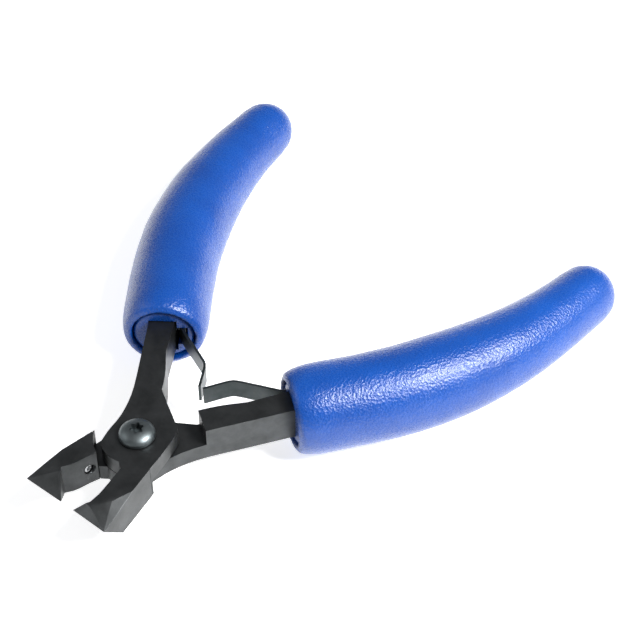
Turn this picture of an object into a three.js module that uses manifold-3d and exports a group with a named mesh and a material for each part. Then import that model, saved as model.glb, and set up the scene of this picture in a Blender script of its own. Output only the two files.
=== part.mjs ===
// Flush cut pliers with angled end-cutting jaws, a screw joint, two leaf springs and padded grips.
// Millimetres, +Z up. The tool lies flat: the hinge axis is vertical, the jaws point to -Y and the
// handles to +Y. The drawing frame has its origin on the hinge axis at mid thickness, and the whole
// group is moved at the end so that the origin is under the middle of the tool.
import * as THREE from 'three';
import { mergeVertices } from 'three/addons/utils/BufferGeometryUtils.js';
import Module from 'manifold-3d';

const wasm = await Module();
wasm.setup();

// ---------- driving dimensions ----------
const HEAD_THICKNESS = 8.56;
const HALF = HEAD_THICKNESS / 2;
const GAP = 0.3; // clearance kept between pieces that touch
const SHOULDER_RADIUS = 9.4; // round step of each jaw about the hinge

const JAW_TIP = [1.7, -21.4, 1.5];
const JAW_CORNER = [11.2, -21.9, 2.3];
const FLUSH_HEEL = -16.4; // y where the flush face meets the underside

const SCREW_HEAD_RADIUS = 3.95;
const SCREW_HEAD_HEIGHT = 2.3;
const SCREW_SHANK_RADIUS = 2.1;
const BUSHING_WALL = 0.9;
const BORE_RADIUS = SCREW_SHANK_RADIUS + BUSHING_WALL + 2 * GAP;
const NUT_RADIUS = 4.4;
const NUT_HEIGHT = 1.5;
const TORX_RADIUS = 1.6;
const TORX_DEPTH = 1.7;

const SET_SCREW_RADIUS = 1.0;
const SET_SCREW_Y = -10.6;

const LEAF_HEIGHT = 4.7;
const LEAF_THICKNESS = 0.6;
const RIVET_RADIUS = 0.7;

const GRIP_WALL = 2.4;
const GRIP_LENGTH = 86.6;
const GRIP_NOSE_RADIUS = 8.2; // where the rounded nose meets the lip
const GRIP_NOSE_LENGTH = 7;
const GRIP_FULL_RADIUS = 10.1;
const GRIP_END_RADIUS = 7.3;
const GRIP_BORE_RADIUS = 7.3;
const CORE_RECESS = 0.7; // depth of the core's lip behind the grip's mouth
const CORE_LENGTH = 74;
const CORE_EDGE_ROUND = 1.1;
const SPRING_POCKET_REACH = 5.7; // from the arm's middle to the pocket's far wall
const SPRING_POCKET_DEPTH = 6;
const TANG_LENGTH = 70;
const TANG_THICKNESS = 5.6;

// ---------- solids ----------
function solid(geometry) {
  geometry.deleteAttribute('normal');
  geometry.deleteAttribute('uv');
  const merged = mergeVertices(geometry, 1e-4);
  return new wasm.Manifold(new wasm.Mesh({
    numProp: 3,
    vertProperties: new Float32Array(merged.attributes.position.array),
    triVerts: new Uint32Array(merged.index.array),
  }));
}

function geometryOf(manifold) {
  const mesh = manifold.getMesh();
  const geometry = new THREE.BufferGeometry();
  geometry.setAttribute('position', new THREE.BufferAttribute(mesh.vertProperties, 3));
  geometry.setIndex(new THREE.BufferAttribute(mesh.triVerts, 1));
  const flat = geometry.toNonIndexed();
  flat.computeVertexNormals();
  return flat;
}

// side is +1 or -1: it mirrors an outline in x
function outline(points, side = 1) {
  return new THREE.Shape(points.map(([x, y]) => new THREE.Vector2(side * x, y)));
}

function slab(shape, low, high) {
  const geometry = new THREE.ExtrudeGeometry(shape, {
    depth: high - low, bevelEnabled: false, curveSegments: 12,
  });
  geometry.translate(0, 0, low);
  return solid(geometry);
}

// an upright cylinder between two heights
function post(radius, low, high, sides = 48) {
  const geometry = new THREE.CylinderGeometry(radius, radius, high - low, sides);
  geometry.rotateX(Math.PI / 2);
  geometry.translate(0, 0, (low + high) / 2);
  return solid(geometry);
}

// a cylinder of any direction, from one point to another
function pin(from, to, radius, sides = 24) {
  const start = new THREE.Vector3(...from);
  const axis = new THREE.Vector3(...to).sub(start);
  const geometry = new THREE.CylinderGeometry(radius, radius, axis.length(), sides);
  geometry.translate(0, axis.length() / 2, 0);
  const turn = new THREE.Quaternion().setFromUnitVectors(
    new THREE.Vector3(0, 1, 0), axis.clone().normalize());
  geometry.applyQuaternion(turn);
  geometry.translate(...start.toArray());
  return solid(geometry);
}

// all that lies beyond the plane through three points, on the far side from the inside point
function beyond(a, b, c, inside, side = 1) {
  const [p, q, r, core] = [a, b, c, inside].map(([x, y, z]) => new THREE.Vector3(side * x, y, z));
  const normal = q.clone().sub(p).cross(r.clone().sub(p)).normalize();
  if (normal.dot(core.clone().sub(p)) > 0) normal.negate();
  const reach = 60;
  const box = new THREE.BoxGeometry(reach, reach, reach);
  box.translate(0, 0, reach / 2);
  box.applyQuaternion(new THREE.Quaternion().setFromUnitVectors(new THREE.Vector3(0, 0, 1), normal));
  box.translate(...p.toArray());
  return solid(box);
}

function turned(profile, sides = 48) {
  const geometry = new THREE.LatheGeometry(profile.map(([r, z]) => new THREE.Vector2(r, z)), sides);
  geometry.rotateX(Math.PI / 2);
  return geometry;
}

// smooth points through a few hand-chosen ones
function smooth(points, count) {
  const curve = new THREE.SplineCurve(points.map(([x, y]) => new THREE.Vector2(x, y)));
  return curve.getPoints(count).map((p) => [p.x, p.y]);
}

function arc(radius, from, to, count) {
  return Array.from({ length: count + 1 }, (_, i) => {
    const angle = THREE.MathUtils.degToRad(from + (to - from) * i / count);
    return [radius * Math.cos(angle), radius * Math.sin(angle)];
  });
}

// ---------- grip centreline ----------
const gripLine = new THREE.CatmullRomCurve3([
  [18.6, 27.8], [24.4, 35.9], [29.9, 43.5], [35.3, 52.1], [40.0, 61.8],
  [43.9, 72.1], [46.7, 83.4], [48.6, 96.0], [49.5, 108.6],
].map(([x, y]) => new THREE.Vector3(x, y, 0)), false, 'centripetal');
gripLine.arcLengthDivisions = 400;
const lineLength = gripLine.getLength();

// place, forward and sideways directions at a distance along the grip; negative runs ahead of it
function gripStation(distance) {
  const t = THREE.MathUtils.clamp(distance / lineLength, 0, 1);
  const point = gripLine.getPointAt(t);
  const forward = gripLine.getTangentAt(t);
  const overshoot = distance - t * lineLength;
  point.addScaledVector(forward, overshoot);
  return { point, forward, sideways: new THREE.Vector3(forward.y, -forward.x, 0) };
}

// bends a solid drawn round the +Z axis onto the grip centreline
function alongGrip(geometry, side) {
  const place = geometry.attributes.position;
  for (let i = 0; i < place.count; i += 1) {
    const { point, sideways } = gripStation(place.getZ(i));
    point.addScaledVector(sideways, place.getX(i));
    place.setXYZ(i, side * point.x, point.y, place.getY(i));
  }
  if (side > 0) {
    const index = geometry.index;
    for (let i = 0; i < index.count; i += 3) {
      const first = index.getX(i);
      index.setX(i, index.getX(i + 1));
      index.setX(i + 1, first);
    }
  }
  return solid(geometry);
}

// outline of a bar that follows the grip, as wide as widthAt(distance)
function barOutline(from, to, widthAt, steps) {
  const left = [];
  const right = [];
  for (let i = 0; i <= steps; i += 1) {
    const distance = from + (to - from) * i / steps;
    const { point, sideways } = gripStation(distance);
    const half = widthAt(distance) / 2;
    right.push([point.x + sideways.x * half, point.y + sideways.y * half]);
    left.push([point.x - sideways.x * half, point.y - sideways.y * half]);
  }
  return [...right, ...left.reverse()];
}

// ---------- arms ----------
const ARM_WIDTH_AT_MOUTH = 5.9;
const ARM_DEPTH_IN_GRIP = 9;
const TANG_WIDTH = 4.2;

// outer edge of an arm, from the front of its lap to the grip
const ARM_OUTER_EDGE = [[4.9, -6.1], [5.9, -2.6], [6.9, 2.4], [9.7, 8.8], [15.5, 17.6]];
// inner edge of an arm, from the grip to the foot of its lap
const ARM_INNER_EDGE = [[12.0, 22.0], [8.6, 18.2], [6.6, 15.6], [5.0, 13.1]];
// far edge of the lap, from its foot to the jaw, on the jaw's side
const LAP_FAR_EDGE = [[1.3, 10.8], [-3.7, 7.9], [-5.0, 7.2], [-5.9, 6.1], [-6.7, 3.4], [-7.7, -1.2]];
const JAW_OUTER_EDGE = [[8.4, -5.2], [9.0, -8.6], [9.7, -12.4], [10.4, -16.4], [11.2, -21.9]];

// The jaws are hand ground, so their inner walls and top bevels differ. Each list is for x > 0.
const TOP = HALF;
const FLUSH_FACE = [JAW_TIP, JAW_CORNER, [JAW_TIP[0], FLUSH_HEEL, -HALF]];
const LEFT_JAW = {
  innerEdge: [[6.6, -16.3], [5.5, -14.7], [5.0, -13.5], [4.3, -11.0], [3.5, -8.9]],
  faces: [
    FLUSH_FACE,
    [[9.9, -12.6, TOP], [6.0, -17.2, TOP], JAW_CORNER], // outer bevel
    [JAW_TIP, JAW_CORNER, [6.0, -17.2, TOP]], // inner bevel, down to the blade
  ],
};
const RIGHT_JAW = {
  innerEdge: [[4.2, -19.9], [4.7, -19.0], [4.7, -16.4], [4.4, -14.3], [3.9, -11.4], [3.5, -8.9]],
  faces: [
    FLUSH_FACE,
    [[9.5, -11.7, TOP], [8.1, -16.1, TOP], [10.5, -16.9, 3.2]], // outer bevel, rear
    [[8.1, -16.1, TOP], [5.6, -20.0, TOP], JAW_CORNER], // outer bevel, front
    [JAW_TIP, JAW_CORNER, [5.6, -20.0, TOP]], // short front bevel above the blade
  ],
};

function jaw(side, { innerEdge, faces }) {
  const inside = [7.4, -13.5, 0];
  const plan = [...JAW_OUTER_EDGE, [JAW_TIP[0], JAW_TIP[1]], ...innerEdge, [5.0, -5.0]];
  const block = slab(outline(plan, side), -HALF, HALF);
  return faces.reduce(
    (shape, [a, b, c]) => shape.subtract(beyond(a, b, c, inside, side)), block);
}

// level is +1 for the arm whose lap is on top, -1 for the one below; its handle is on the -level side
function arm(level) {
  const side = -level;
  const lapCut = 0.5 * GAP;
  const mouthEnd = barOutline(4, ARM_DEPTH_IN_GRIP, () => ARM_WIDTH_AT_MOUTH, 3);
  const edgeCount = mouthEnd.length / 2;
  const plan = [
    ...smooth(ARM_OUTER_EDGE, 14), ...mouthEnd.slice(0, edgeCount),
    ...mouthEnd.slice(edgeCount), ...smooth(ARM_INNER_EDGE, 8), ...LAP_FAR_EDGE,
    [-8.3, -5.0], [-5.0, -8.0], [-3.4, -8.7], ...arc(7.9, 256, 300, 5),
  ];
  const whole = slab(outline(plan, side), -HALF, HALF)
    .add(jaw(-side, level > 0 ? RIGHT_JAW : LEFT_JAW));
  const tangWidth = (distance) => THREE.MathUtils.mapLinear(
    distance, ARM_DEPTH_IN_GRIP, TANG_LENGTH, ARM_WIDTH_AT_MOUTH, TANG_WIDTH);
  const tang = slab(outline(barOutline(ARM_DEPTH_IN_GRIP - 1, TANG_LENGTH, tangWidth, 14), side),
    -TANG_THICKNESS / 2, TANG_THICKNESS / 2);
  const rivet = rivetAxis(side);
  const rivetHole = pin(rivet.from, rivet.to, RIVET_RADIUS + GAP);
  const [low, high] = level > 0 ? [-HALF - 1, lapCut] : [-lapCut, HALF + 1];
  const stepAside = outline([[-9.6, -1], [-9.6, 23.1], [6.4, 12.7], [14.0, 7.8], [9.3, -1]], side);
  return whole.add(tang)
    .subtract(slab(stepAside, low, high))
    .subtract(post(SHOULDER_RADIUS, low, high, 96))
    .subtract(post(BORE_RADIUS, -HALF - 1, HALF + 1))
    .subtract(rivetHole);
}

function armUpper() {
  return arm(1);
}

function armLower() {
  return arm(-1)
    .subtract(post(NUT_RADIUS + GAP, -HALF - 1, -HALF + NUT_HEIGHT + GAP))
    .subtract(pin([-2, SET_SCREW_Y, 0], [-12, SET_SCREW_Y, 0], SET_SCREW_RADIUS + GAP));
}

// ---------- hinge hardware ----------
function torxRecess(radius, depth, top) {
  const points = Array.from({ length: 48 }, (_, i) => {
    const angle = i / 48 * 2 * Math.PI;
    const reach = radius * (1 - 0.15 * (1 - Math.cos(6 * angle)));
    return [reach * Math.cos(angle), reach * Math.sin(angle)];
  });
  return slab(outline(points), top - depth, top + 2);
}

function pivotScrew() {
  const seat = HALF + GAP;
  const crown = seat + SCREW_HEAD_HEIGHT;
  const rim = 0.45;
  const dome = arc(1, 0, 70, 8).map(([c, s]) => [
    SCREW_HEAD_RADIUS * c, seat + rim + (SCREW_HEAD_HEIGHT - rim) * s / Math.sin(Math.PI * 70 / 180)]);
  const end = -HALF + 0.4;
  const profile = [[0, end], [SCREW_SHANK_RADIUS - 0.3, end], [SCREW_SHANK_RADIUS, end + 0.3],
    [SCREW_SHANK_RADIUS, seat], [SCREW_HEAD_RADIUS, seat], ...dome, [0, crown]];
  return solid(turned(profile)).subtract(torxRecess(TORX_RADIUS, TORX_DEPTH, crown));
}

function pivotBushing() {
  const low = -HALF + NUT_HEIGHT + 2 * GAP;
  const inner = SCREW_SHANK_RADIUS + GAP;
  const outer = inner + BUSHING_WALL;
  return post(outer, low, HALF).subtract(post(inner, low - 1, HALF + 1));
}

function pivotNut() {
  const low = -HALF;
  const slotHalf = 0.5;
  const ring = post(NUT_RADIUS, low, low + NUT_HEIGHT)
    .subtract(post(SCREW_SHANK_RADIUS + GAP, low - 1, low + NUT_HEIGHT + 1));
  const slot = outline([[-6, -slotHalf], [6, -slotHalf], [6, slotHalf], [-6, slotHalf]]);
  return ring.subtract(slab(slot, low - 1, low + 0.6));
}

function setScrew() {
  const face = -4.6;
  const body = pin([face, SET_SCREW_Y, 0], [face - 4.0, SET_SCREW_Y, 0], SET_SCREW_RADIUS);
  const socket = pin([face + 1, SET_SCREW_Y, 0], [face - 1.0, SET_SCREW_Y, 0], 0.6, 6);
  return body.subtract(socket);
}

// ---------- leaf springs ----------
const rootStation = gripStation(2.2);
const ROOT_OFFSET = ARM_WIDTH_AT_MOUTH / 2 + GAP + LEAF_THICKNESS / 2;
const LEAF_ROOT = [
  rootStation.point.x - rootStation.sideways.x * ROOT_OFFSET,
  rootStation.point.y - rootStation.sideways.y * ROOT_OFFSET,
];
const LEAF_TAB = 2.6;

// the leaf's middle line: a tab along the arm, a bend at the root, a long leg, a knee and a toe
function leafLine() {
  const { forward } = rootStation;
  const [x, y] = LEAF_ROOT;
  const tabEnd = [x + forward.x * LEAF_TAB, y + forward.y * LEAF_TAB];
  const leg = [[14.4, 30.5], [9.4, 28.4], [5.2, 26.6], [3.9, 25.7], [3.0, 24.4], [0.55, 20.2]];
  return [tabEnd, [x + forward.x, y + forward.y], ...leg];
}

function leafSpring(side) {
  const centre = smooth(leafLine(), 30);
  const half = LEAF_THICKNESS / 2;
  const offset = (sign) => centre.map(([x, y], i) => {
    const [x0, y0] = centre[Math.max(i - 1, 0)];
    const [x1, y1] = centre[Math.min(i + 1, centre.length - 1)];
    const length = Math.hypot(x1 - x0, y1 - y0);
    return [x + sign * half * (y1 - y0) / length, y - sign * half * (x1 - x0) / length];
  });
  const strip = slab(outline([...offset(1), ...offset(-1).reverse()], side),
    -LEAF_HEIGHT / 2, LEAF_HEIGHT / 2);
  const { from, to } = rivetAxis(side);
  return strip.subtract(pin(from, to, RIVET_RADIUS + 0.55));
}

// the rivet runs from the arm's inner face through the middle of the leaf's tab
function rivetAxis(side) {
  const { forward, sideways } = rootStation;
  const [x, y] = LEAF_ROOT;
  const centre = new THREE.Vector3(x + forward.x * 1.4, y + forward.y * 1.4, 0);
  const from = centre.clone().addScaledVector(sideways, 2.2);
  const to = centre.clone().addScaledVector(sideways, -LEAF_THICKNESS / 2 - 0.45);
  const flip = (point) => [side * point.x, point.y, point.z];
  return { from: flip(from), to: flip(to) };
}

function springRivet(side) {
  const { from, to } = rivetAxis(side);
  const tip = new THREE.Vector3(...to);
  const back = new THREE.Vector3(...from).sub(tip).normalize();
  const headEnd = tip.clone().addScaledVector(back, -0.7);
  return pin(from, to, RIVET_RADIUS).add(pin(tip.toArray(), headEnd.toArray(), 1.2));
}

// ---------- grips ----------
// outside radius of the grip at a distance behind its mouth: a rounded nose, then a slow taper
function gripRadius(distance) {
  const left = 1 - THREE.MathUtils.clamp(distance / GRIP_NOSE_LENGTH, 0, 1);
  const nose = Math.sqrt(1 - left * left);
  const front = THREE.MathUtils.lerp(GRIP_NOSE_RADIUS, GRIP_FULL_RADIUS, nose);
  const taper = THREE.MathUtils.smoothstep(distance, 30, GRIP_LENGTH);
  return THREE.MathUtils.lerp(front, GRIP_END_RADIUS, taper);
}

function boreRadius(distance) {
  return Math.min(GRIP_BORE_RADIUS, gripRadius(distance) - GRIP_WALL);
}

function wallPoints(from, to, steps, radiusAt) {
  return Array.from({ length: steps + 1 }, (_, i) => {
    const distance = from + (to - from) * i / steps;
    return [radiusAt(distance), distance];
  });
}

function gripSleeve(side) {
  const domeStart = GRIP_LENGTH - GRIP_END_RADIUS;
  const dome = arc(GRIP_END_RADIUS, 0, 90, 7).map(([x, y]) => [x, domeStart + y]);
  const boreEnd = CORE_RECESS + CORE_LENGTH + GAP;
  const lip = (GRIP_NOSE_RADIUS - GRIP_BORE_RADIUS) / 2;
  const lipRound = arc(lip, -180, 0, 6).map(([x, y]) => [GRIP_BORE_RADIUS + lip + x, lip + y]);
  const nose = Array.from({ length: 7 }, (_, i) => {
    const angle = (i + 1) / 7 * Math.PI / 2;
    const distance = lip + (GRIP_NOSE_LENGTH - lip) * (1 - Math.cos(angle));
    return [gripRadius(distance), distance];
  });
  const profile = [
    [0, boreEnd], ...wallPoints(boreEnd, 3, 12, boreRadius), [GRIP_BORE_RADIUS, 2],
    ...lipRound, ...nose, ...wallPoints(12, domeStart - 1, 13, gripRadius),
    ...dome.slice(0, -1), [0, GRIP_LENGTH],
  ];
  return alongGrip(turned(profile, 36), side);
}

// room beside the arm for the leaf's tab and its rivet
function springPocket(side) {
  const wall = (reach) => [CORE_RECESS - 1, SPRING_POCKET_DEPTH].map((distance) => {
    const { point, sideways } = gripStation(distance);
    return [point.x - sideways.x * reach, point.y - sideways.y * reach];
  });
  const half = LEAF_HEIGHT / 2 + GAP;
  return slab(outline([...wall(0), ...wall(SPRING_POCKET_REACH).reverse()], side), -half, half);
}

// the core fills the grip round the tang; its face has a rounded edge and sits just inside the mouth
function gripCore(side) {
  const start = CORE_RECESS;
  const end = start + CORE_LENGTH;
  const coreRadius = (distance) => boreRadius(distance) - GAP;
  const edgeCentre = GRIP_BORE_RADIUS - GAP - CORE_EDGE_ROUND;
  const edge = arc(CORE_EDGE_ROUND, -90, 0, 5).map(([x, y]) => [
    edgeCentre + x, start + CORE_EDGE_ROUND + y]);
  const profile = [[0, start], ...edge, ...wallPoints(4, end, 12, coreRadius), [0, end]];
  const body = alongGrip(turned(profile, 32), side);
  const clear = 2 * GAP;
  const tangWidth = (distance) => THREE.MathUtils.mapLinear(
    distance, ARM_DEPTH_IN_GRIP, TANG_LENGTH, ARM_WIDTH_AT_MOUTH + clear, TANG_WIDTH + clear);
  const armChannel = slab(outline(
    barOutline(start - 1, ARM_DEPTH_IN_GRIP + GAP, () => ARM_WIDTH_AT_MOUTH + clear, 6), side),
  -HALF - GAP, HALF + GAP);
  const tangChannel = slab(outline(
    barOutline(ARM_DEPTH_IN_GRIP - 1, TANG_LENGTH + GAP, tangWidth, 14), side),
  -TANG_THICKNESS / 2 - GAP, TANG_THICKNESS / 2 + GAP);
  return body.subtract(armChannel).subtract(tangChannel).subtract(springPocket(side));
}

// ---------- materials ----------
const finish = (color, roughness, metalness) => new THREE.MeshStandardMaterial({
  color, roughness, metalness,
});
const black_steel = () => finish('#3b3a3e', 0.45, 0.9);
const screw_steel = () => finish('#5d6468', 0.32, 0.95);
const spring_steel = () => finish('#56605f', 0.35, 0.95);
const bushing_steel = () => finish('#6b6f72', 0.4, 0.95);
const core_plastic = () => finish('#1f4e9b', 0.6, 0.0);
const grip_foam = () => finish('#1d52b8', 0.75, 0.0);

// ---------- assembly ----------
const pliers = new THREE.Group();

function place(name, manifold, material) {
  const mesh = new THREE.Mesh(geometryOf(manifold), material);
  mesh.name = name;
  pliers.add(mesh);
}

place('arm_lower', armLower(), black_steel());
place('arm_upper', armUpper(), black_steel());
place('pivot_screw', pivotScrew(), screw_steel());
place('pivot_bushing', pivotBushing(), bushing_steel());
place('pivot_nut', pivotNut(), screw_steel());
place('set_screw', setScrew(), screw_steel());
for (const [side, word] of [[1, 'right'], [-1, 'left']]) {
  place(`leaf_spring_${word}`, leafSpring(side), spring_steel());
  place(`spring_rivet_${word}`, springRivet(side), screw_steel());
  place(`grip_core_${word}`, gripCore(side), core_plastic());
  place(`grip_sleeve_${word}`, gripSleeve(side), grip_foam());
}

// the origin ends up under the middle of the tool, on the surface it lies on
const box = new THREE.Box3().setFromObject(pliers);
const centre = box.getCenter(new THREE.Vector3());
pliers.position.set(-centre.x, -centre.y, -box.min.z);

export default pliers;
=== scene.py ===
from math import radians

import bmesh
import bpy
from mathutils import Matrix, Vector, noise


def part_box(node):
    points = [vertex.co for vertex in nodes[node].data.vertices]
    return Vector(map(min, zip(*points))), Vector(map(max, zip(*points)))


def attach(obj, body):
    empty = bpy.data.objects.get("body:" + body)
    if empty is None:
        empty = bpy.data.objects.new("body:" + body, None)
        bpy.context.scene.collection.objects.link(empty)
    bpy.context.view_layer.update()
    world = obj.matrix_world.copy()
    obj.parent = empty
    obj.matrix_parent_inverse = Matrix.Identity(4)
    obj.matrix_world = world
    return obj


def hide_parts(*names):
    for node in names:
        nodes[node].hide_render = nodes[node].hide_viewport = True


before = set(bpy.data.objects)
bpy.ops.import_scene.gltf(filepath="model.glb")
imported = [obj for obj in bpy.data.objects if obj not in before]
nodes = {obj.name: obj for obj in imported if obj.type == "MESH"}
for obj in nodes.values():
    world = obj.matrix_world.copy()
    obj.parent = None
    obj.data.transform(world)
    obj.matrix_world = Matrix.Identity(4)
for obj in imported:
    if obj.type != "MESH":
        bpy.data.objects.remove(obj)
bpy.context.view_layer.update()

MM = 0.001
SIDES = ("right", "left")
HALF_OF = {"right": "lower_half", "left": "upper_half"}

WELD_DISTANCE = 0.002 * MM
BEVEL_SEGMENTS = 2
WIDE_EDGE = 0.10 * MM
MEDIUM_EDGE = 0.08 * MM
FINE_EDGE = 0.06 * MM
CORE_EDGE = 0.15 * MM
SKIN_VOXEL = 0.45 * MM
SKIN_PASSES = 6
HOLLOW_SIZE = 9 * MM
HOLLOW_DEPTH = 0.12 * MM
HOLLOW_SEED = {"right": 7, "left": 3}
FLOOR_HALF = 6.0
FLOOR_DROP = 0.2 * MM

# ---------- places taken from the frame ----------
screw_low, screw_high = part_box("pivot_screw")
arm_low, arm_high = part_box("arm_lower")
HINGE = Vector((
    (screw_low.x + screw_high.x) / 2,
    (screw_low.y + screw_high.y) / 2,
    (arm_low.z + arm_high.z) / 2,
))
TOOL_MIDDLE = HINGE + Vector((0, 40, 0)) * MM


# ---------- material helpers ----------
class Nodes:
    """A new material with its Principled shader, and short calls to add nodes to it."""

    def __init__(self, name):
        self.material = bpy.data.materials.new(name)
        self.material.use_nodes = True
        self.tree = self.material.node_tree
        self.shader = self.tree.nodes["Principled BSDF"]

    def add(self, kind, **values):
        node = self.tree.nodes.new(kind)
        for key, value in values.items():
            if key in node.inputs:
                node.inputs[key].default_value = value
            else:
                setattr(node, key, value)
        return node

    def link(self, output, target):
        self.tree.links.new(output, target)

    def place(self, scale=(1, 1, 1)):
        """Object coordinates, stretched by scale."""
        coordinates = self.add("ShaderNodeTexCoord")
        mapping = self.add("ShaderNodeMapping")
        mapping.inputs["Scale"].default_value = scale
        self.link(coordinates.outputs["Object"], mapping.inputs["Vector"])
        return mapping.outputs["Vector"]

    def noise(self, scale, detail=3.0, roughness=0.5, at=None):
        node = self.add("ShaderNodeTexNoise", Scale=scale, Detail=detail, Roughness=roughness)
        self.link(at or self.place(), node.inputs["Vector"])
        return node.outputs["Fac"]

    def ramp(self, factor, stops):
        """stops is a list of (position, colour)."""
        node = self.add("ShaderNodeValToRGB")
        elements = node.color_ramp.elements
        while len(elements) < len(stops):
            elements.new(0.5)
        for element, (position, colour) in zip(elements, stops):
            element.position = position
            element.color = (*colour, 1)
        self.link(factor, node.inputs["Fac"])
        return node.outputs["Color"]

    def span(self, factor, low, high):
        """The factor, from 0..1 to low..high."""
        node = self.add("ShaderNodeMapRange")
        node.inputs["To Min"].default_value = low
        node.inputs["To Max"].default_value = high
        self.link(factor, node.inputs["Value"])
        return node.outputs["Result"]

    def bump(self, height, strength, distance, under=None):
        node = self.add("ShaderNodeBump", Strength=strength, Distance=distance)
        self.link(height, node.inputs["Height"])
        if under is not None:
            self.link(under, node.inputs["Normal"])
        return node.outputs["Normal"]

    def set(self, **values):
        for key, value in values.items():
            self.shader.inputs[key.replace("_", " ")].default_value = value


def steel(name, dark, light, roughness):
    """Steel with faint machining lines, a cloudy tint and small pits."""
    m = Nodes(name)
    cloud = m.noise(220, 4, 0.6)
    m.link(m.ramp(cloud, [(0.3, dark), (0.7, light)]), m.shader.inputs["Base Color"])
    lines = m.noise(2600, 2, 0.6, m.place(scale=(0.25, 4.0, 1.0)))
    low, high = roughness
    m.link(m.span(lines, low, high), m.shader.inputs["Roughness"])
    pits = m.bump(m.noise(5200, 2), 0.15, 0.03 * MM)
    m.link(m.bump(lines, 0.12, 0.04 * MM, pits), m.shader.inputs["Normal"])
    m.set(Metallic=1.0)
    return m.material


def foam(name, deep, pale):
    """Blue foam with a pebbled skin: fine grains that sparkle where light grazes them."""
    m = Nodes(name)
    patches = m.noise(90, 4, 0.6)
    m.link(m.ramp(patches, [(0.3, deep), (0.75, pale)]), m.shader.inputs["Base Color"])
    grains = m.add("ShaderNodeTexVoronoi", Scale=1700.0, Randomness=1.0)
    m.link(m.place(), grains.inputs["Vector"])
    fine = m.noise(3200, 3, 0.7)
    coarse = m.bump(m.noise(420, 3, 0.6), 0.2, 0.12 * MM)
    pebbles = m.bump(grains.outputs["Distance"], 0.6, 0.14 * MM, coarse)
    m.link(m.bump(fine, 0.55, 0.12 * MM, pebbles), m.shader.inputs["Normal"])
    m.link(m.span(fine, 0.16, 0.40), m.shader.inputs["Roughness"])
    m.set(Specular_IOR_Level=0.5)
    return m.material


BLACK_OXIDE = steel("black_oxide", (0.050, 0.053, 0.054), (0.084, 0.088, 0.090), (0.34, 0.52))
# Bright steel for bevelled edges: partly real edge wear, partly a painted highlight standing
# in for the thin bright line that light draws along the edges.
WORN_AND_HIGHLIGHT_EDGE = steel("worn_and_highlight_edge", (0.22, 0.23, 0.23), (0.38, 0.39, 0.38), (0.28, 0.42))
SCREW = steel("screw_steel", (0.09, 0.105, 0.11), (0.14, 0.16, 0.165), (0.36, 0.50))
SPRING = steel("spring_steel", (0.065, 0.078, 0.080), (0.105, 0.118, 0.120), (0.3, 0.45))
SPRING_EDGE = steel("spring_edge", (0.42, 0.44, 0.42), (0.55, 0.56, 0.54), (0.25, 0.4))
BUSHING = steel("bushing_steel", (0.42, 0.43, 0.44), (0.60, 0.61, 0.62), (0.2, 0.35))
FOAM = foam("blue_foam", (0.001, 0.040, 0.22), (0.002, 0.055, 0.28))
CORE = foam("blue_core", (0.001, 0.032, 0.18), (0.003, 0.052, 0.26))


# ---------- CAD metal ----------
def finish_metal(name, body_material, edge_material, edge, angle=35):
    """Softens edges sharper than the angle, which take the edge material."""
    piece = nodes[name]
    piece.data.materials.clear()
    piece.data.materials.append(body_material)
    piece.data.materials.append(edge_material)
    weld = piece.modifiers.new("weld", "WELD")
    weld.merge_threshold = WELD_DISTANCE
    bevel = piece.modifiers.new("edges", "BEVEL")
    bevel.width = edge
    bevel.segments = BEVEL_SEGMENTS
    bevel.limit_method = "ANGLE"
    bevel.angle_limit = radians(angle)
    bevel.material = 1
    for polygon in piece.data.polygons:
        polygon.use_smooth = True
    normals = piece.modifiers.new("normals", "WEIGHTED_NORMAL")
    normals.keep_sharp = True


# The arms' and the nut's bevelled edges take the bright edge colour: worn metal plus a
# painted highlight along the edges.
for name in ("arm_lower", "arm_upper"):
    finish_metal(name, BLACK_OXIDE, WORN_AND_HIGHLIGHT_EDGE, WIDE_EDGE, angle=22)
finish_metal("pivot_screw", SCREW, SCREW, MEDIUM_EDGE)
finish_metal("pivot_nut", SCREW, WORN_AND_HIGHLIGHT_EDGE, WIDE_EDGE)
finish_metal("pivot_bushing", BUSHING, BUSHING, FINE_EDGE)
finish_metal("set_screw", BUSHING, BUSHING, FINE_EDGE)
for side in SIDES:
    finish_metal(f"leaf_spring_{side}", SPRING, SPRING_EDGE, MEDIUM_EDGE, angle=40)
    finish_metal(f"spring_rivet_{side}", SCREW, SCREW, FINE_EDGE)


# ---------- grips ----------
def copy_of(node, name):
    """A new object with a node's mesh, its split corners merged."""
    mesh = nodes[node].data.copy()
    mesh.materials.clear()
    piece = bpy.data.objects.new(name, mesh)
    bpy.context.scene.collection.objects.link(piece)
    work = bmesh.new()
    work.from_mesh(mesh)
    bmesh.ops.remove_doubles(work, verts=work.verts, dist=WELD_DISTANCE)
    work.to_mesh(mesh)
    work.free()
    return piece


def apply_all(piece):
    """Bakes a piece's modifiers into its mesh."""
    bpy.context.view_layer.update()
    seen = piece.evaluated_get(bpy.context.evaluated_depsgraph_get())
    mesh = bpy.data.meshes.new_from_object(seen)
    piece.modifiers.clear()
    piece.data = mesh


def even_skin(piece, voxel, passes):
    """Rebuilds a faceted solid as an even, smooth skin."""
    remesh = piece.modifiers.new("remesh", "REMESH")
    remesh.mode = "VOXEL"
    remesh.voxel_size = voxel
    smooth = piece.modifiers.new("smooth", "SMOOTH")
    smooth.factor = 0.5
    smooth.iterations = passes
    apply_all(piece)


def uneven(piece, size, depth, seed):
    """Soft, shallow hollows, as moulded foam has."""
    normals = [v.normal.copy() for v in piece.data.vertices]
    for vertex, normal in zip(piece.data.vertices, normals):
        wave = noise.noise(vertex.co / size + Vector((seed, seed, seed)))
        vertex.co += normal * depth * (wave - 0.6)


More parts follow.
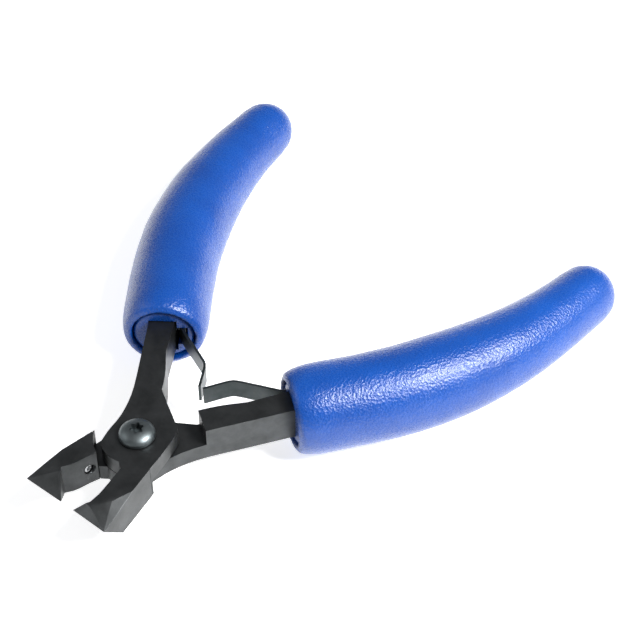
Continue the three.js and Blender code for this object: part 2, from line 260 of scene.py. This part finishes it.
def make_grip(side):
    sleeve = copy_of(f"grip_sleeve_{side}", f"foam_sleeve_{side}")
    even_skin(sleeve, SKIN_VOXEL, SKIN_PASSES)
    uneven(sleeve, HOLLOW_SIZE, HOLLOW_DEPTH, HOLLOW_SEED[side])
    core = copy_of(f"grip_core_{side}", f"core_insert_{side}")
    for piece, node, material, slot in (
        (sleeve, "grip_sleeve", FOAM, "grip_foam"),
        (core, "grip_core", CORE, "grip_core"),
    ):
        piece.data.materials.append(material)
        for polygon in piece.data.polygons:
            polygon.use_smooth = piece is sleeve
        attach(piece, HALF_OF[side])
        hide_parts(f"{node}_{side}")
    bevel = core.modifiers.new("edges", "BEVEL")
    bevel.width = CORE_EDGE
    bevel.segments = BEVEL_SEGMENTS
    bevel.limit_method = "ANGLE"


for side in SIDES:
    make_grip(side)


# ---------- floor, light and camera ----------
def make_floor():
    reach = FLOOR_HALF
    mesh = bpy.data.meshes.new("floor")
    corners = [(-reach, -reach, 0), (reach, -reach, 0), (reach, reach, 0), (-reach, reach, 0)]
    mesh.from_pydata(corners, [], [(0, 1, 2, 3)])
    floor = bpy.data.objects.new("floor", mesh)
    floor.location.z = -FLOOR_DROP
    bpy.context.scene.collection.objects.link(floor)
    m = Nodes("pale_floor")
    m.set(Base_Color=(0.8, 0.8, 0.8, 1), Roughness=0.9)
    m.set(Emission_Color=(1, 1, 1, 1), Emission_Strength=0.7)
    floor.data.materials.append(m.material)


def make_light(name, direction, distance, size, power):
    """A round soft light, a distance off in a direction and facing the tool."""
    data = bpy.data.lights.new(name, "AREA")
    data.shape = "DISK"
    data.size = size
    data.energy = power
    light = bpy.data.objects.new(name, data)
    toward = Vector(direction).normalized()
    light.location = TOOL_MIDDLE + toward * distance
    light.rotation_mode = "QUATERNION"
    light.rotation_quaternion = toward.to_track_quat("Z", "Y")
    bpy.context.scene.collection.objects.link(light)


def make_world():
    """A studio that is dim overhead and bright near the horizon."""
    world = bpy.data.worlds.new("studio")
    world.use_nodes = True
    tree = world.node_tree
    background = tree.nodes["Background"]
    direction = tree.nodes.new("ShaderNodeTexCoord")
    split = tree.nodes.new("ShaderNodeSeparateXYZ")
    ramp = tree.nodes.new("ShaderNodeValToRGB")
    tree.links.new(direction.outputs["Generated"], split.inputs["Vector"])
    tree.links.new(split.outputs["Z"], ramp.inputs["Fac"])
    tree.links.new(ramp.outputs["Color"], background.inputs["Color"])
    low, high = ramp.color_ramp.elements
    low.position, low.color = 0.15, (0.52, 0.55, 0.57, 1)
    high.position, high.color = 0.65, (0.30, 0.30, 0.31, 1)
    background.inputs["Strength"].default_value = 0.8
    bpy.context.scene.world = world


def make_camera():
    data = bpy.data.cameras.new("camera")
    data.sensor_width = 36
    data.lens = 92.8
    data.clip_start = 0.01
    camera = bpy.data.objects.new("camera", data)
    camera.location = HINGE + Vector((174.1, -154.4, 269.8)) * MM
    view = Vector((-0.4423, 0.5493, -0.7090))
    camera.rotation_mode = "QUATERNION"
    camera.rotation_quaternion = view.to_track_quat("-Z", "Y")
    bpy.context.scene.collection.objects.link(camera)
    bpy.context.scene.camera = camera


make_floor()
make_world()
make_light("strip", (0.66, 0.16, 0.74), 0.7, 0.26, 11.0)
make_light("fill", (-0.7, -0.5, 0.6), 0.8, 0.5, 1.2)
make_camera()
bpy.context.scene.view_settings.view_transform = "Standard"
